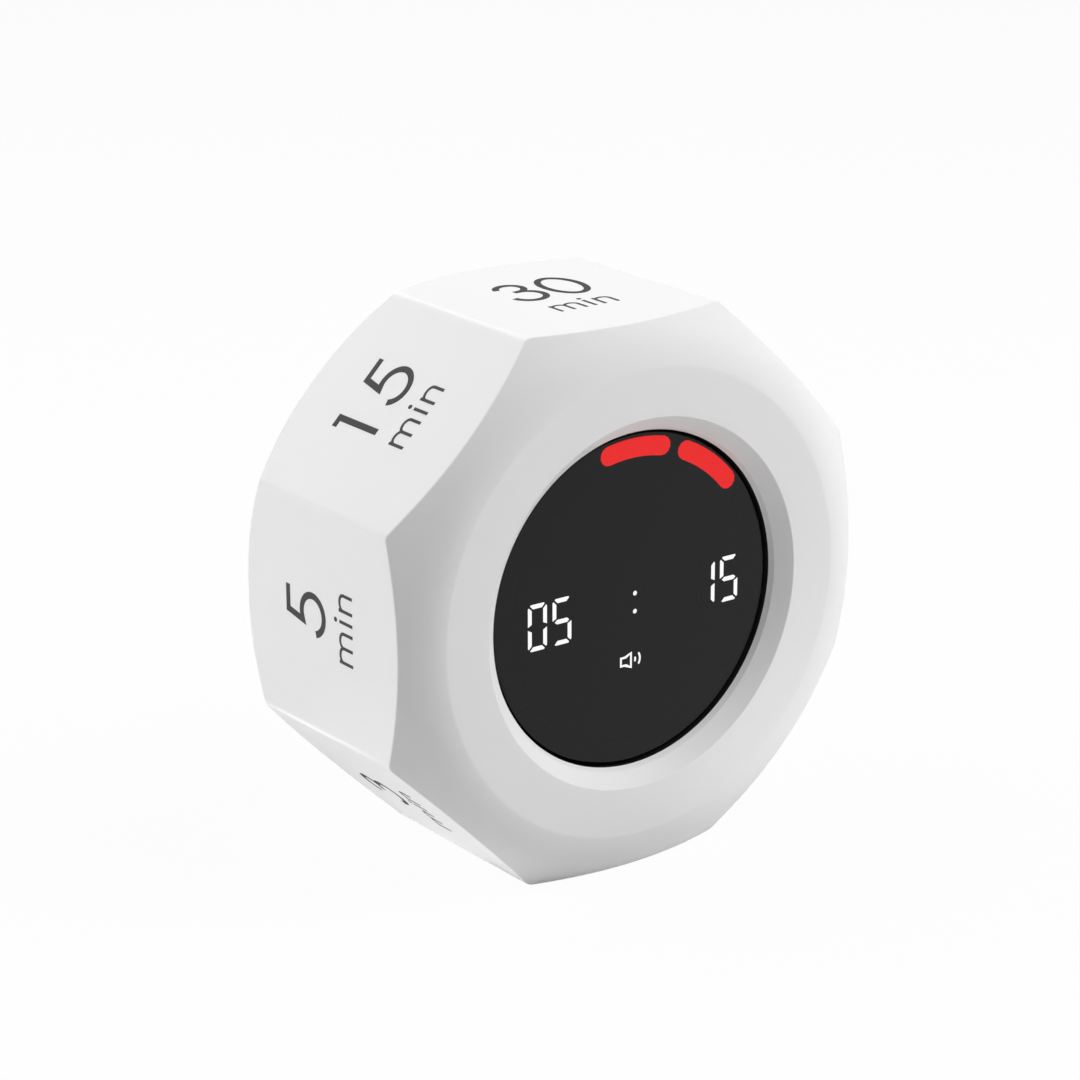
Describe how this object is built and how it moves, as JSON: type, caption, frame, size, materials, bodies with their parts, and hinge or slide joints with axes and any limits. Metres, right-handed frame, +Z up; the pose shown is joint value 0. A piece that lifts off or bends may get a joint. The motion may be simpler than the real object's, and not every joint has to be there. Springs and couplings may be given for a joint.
{
  "type": "flip timer",
  "caption": "Octagonal flip timer that stands on any of its side faces, with a round recessed display of digits and progress arcs, a hinged battery door and a sound switch at the back",
  "frame": {"origin": "middle of the lower side face, where the timer stands", "axes": "X to the right seen from the front, Y from the display to the back, Z up"},
  "size_m": [0.076, 0.0408, 0.076],
  "materials": {
    "white_shell": "smooth satin",
    "black_sleeve": "matte",
    "gloss_black": "polished",
    "lit_white": "lit from behind",
    "dark_window": "polished",
    "lit_red": "lit from behind",
    "adhesive": "matte",
    "reflector_grey": "matte",
    "led_resin": "clear coat",
    "board_green": "solder mask",
    "screw_steel": "plated",
    "chip_black": "matte",
    "plated_metal": "plated",
    "switch_grey": "satin",
    "cell_jacket": "satin",
    "foam": "open foam",
    "wire_red": "satin"
  },
  "bodies": {
    "case": {"front_housing": "white_shell", "rear_cover": "white_shell", "display_bezel": "black_sleeve", "display_lens": "gloss_black", "lit_digit_windows": "lit_white", "colon_windows": "lit_white", "sound_icon_windows": "lit_white", "dark_digit_windows": "dark_window", "dark_progress_windows": "dark_window", "lit_progress_windows": "lit_red", "lens_adhesive": "adhesive", "light_reflector": "reflector_grey", "led_chips": "led_resin", "main_board": "board_green", "switch_board": "board_green", "case_screws": "screw_steel", "board_screws": "screw_steel", "switch_board_screws": "screw_steel", "controller_chip": "chip_black", "motion_sensor": "chip_black", "boost_inductor": "chip_black", "buzzer": "chip_black", "clock_crystal": "plated_metal", "switch_body": "plated_metal", "bridge_contact": "plated_metal", "positive_contact": "plated_metal", "negative_contact": "plated_metal", "contact_springs": "plated_metal", "magnets": "plated_metal", "cell_upper": "cell_jacket", "cell_lower": "cell_jacket", "lead_wires": "wire_red"},
    "door": {"battery_door": "white_shell", "door_pad": "foam"},
    "switch": {"sound_switch": "switch_grey"}
  },
  "joints": [
    {"name": "battery_door_hinge", "type": "hinge", "parent": "case", "child": "door", "pos_m": [0, 0.0196, 0.0493], "axis": [1, 0, 0], "range_deg": [0, 95]},
    {"name": "sound_switch_slide", "type": "slide", "parent": "case", "child": "switch", "axis": [1, 0, 0], "range_m": [-0.002, 0.002]}
  ]
}
